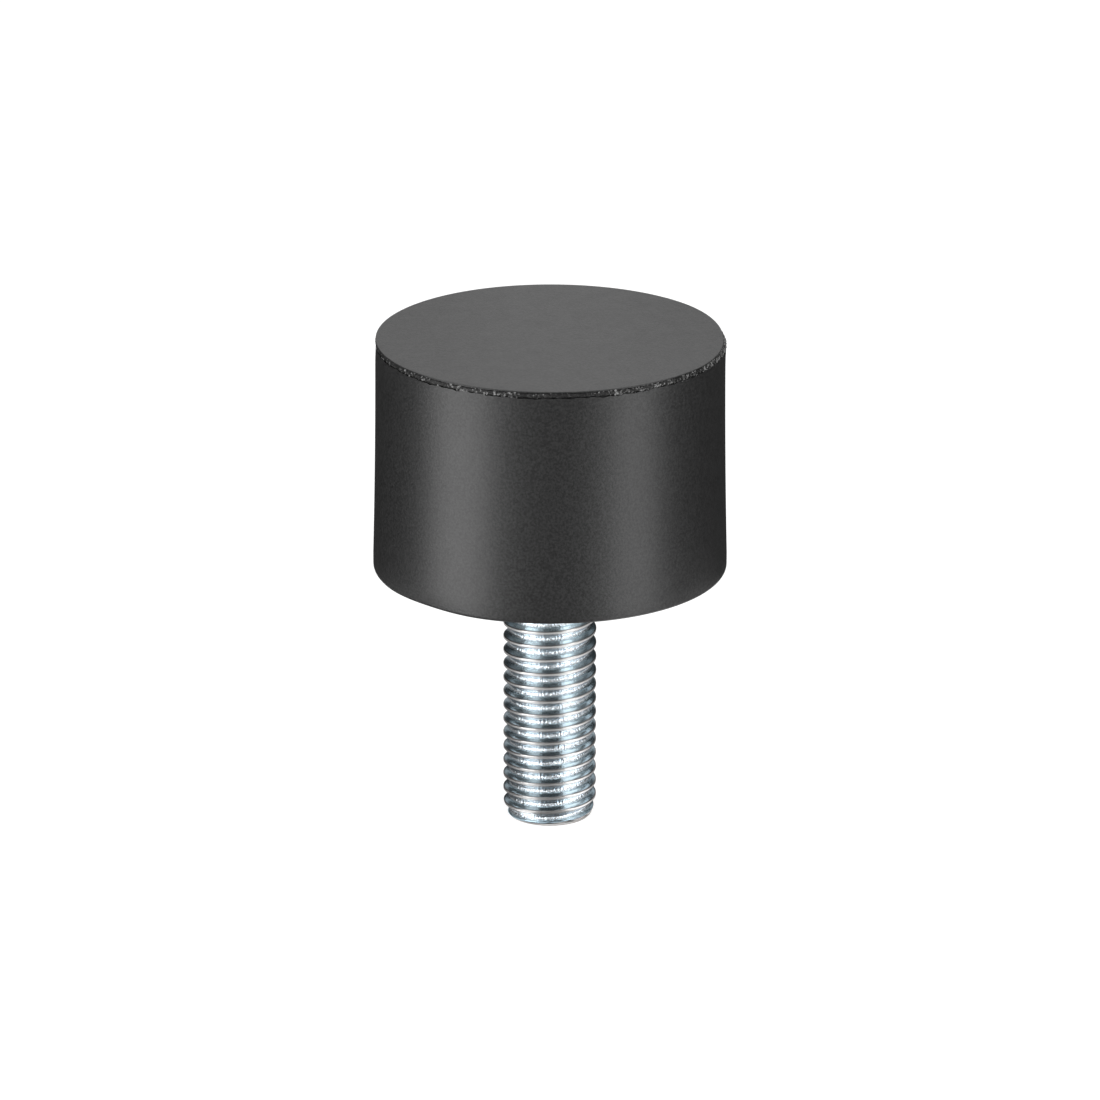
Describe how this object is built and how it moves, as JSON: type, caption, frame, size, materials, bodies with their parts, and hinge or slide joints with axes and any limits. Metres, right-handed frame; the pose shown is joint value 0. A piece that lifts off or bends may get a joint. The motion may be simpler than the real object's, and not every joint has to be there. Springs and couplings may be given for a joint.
{
  "type": "rubber buffer",
  "caption": "Round rubber buffer bonded to a steel plate, with a threaded stud that screws it to a frame and a plain face that takes the blow.",
  "frame": {"origin": "centre of the underside, where the buffer seats on what it is screwed to", "axes": "+Z along the axis to the free rubber face, with the threaded stud reaching down along -Z"},
  "size_m": [0.03, 0.03, 0.0427],
  "materials": {
    "rubber": "satin",
    "plated_steel": "bright zinc plate"
  },
  "bodies": {
    "root": {"rubber_body": "rubber", "base_plate": "plated_steel", "threaded_stud": "plated_steel"}
  },
  "joints": []
}
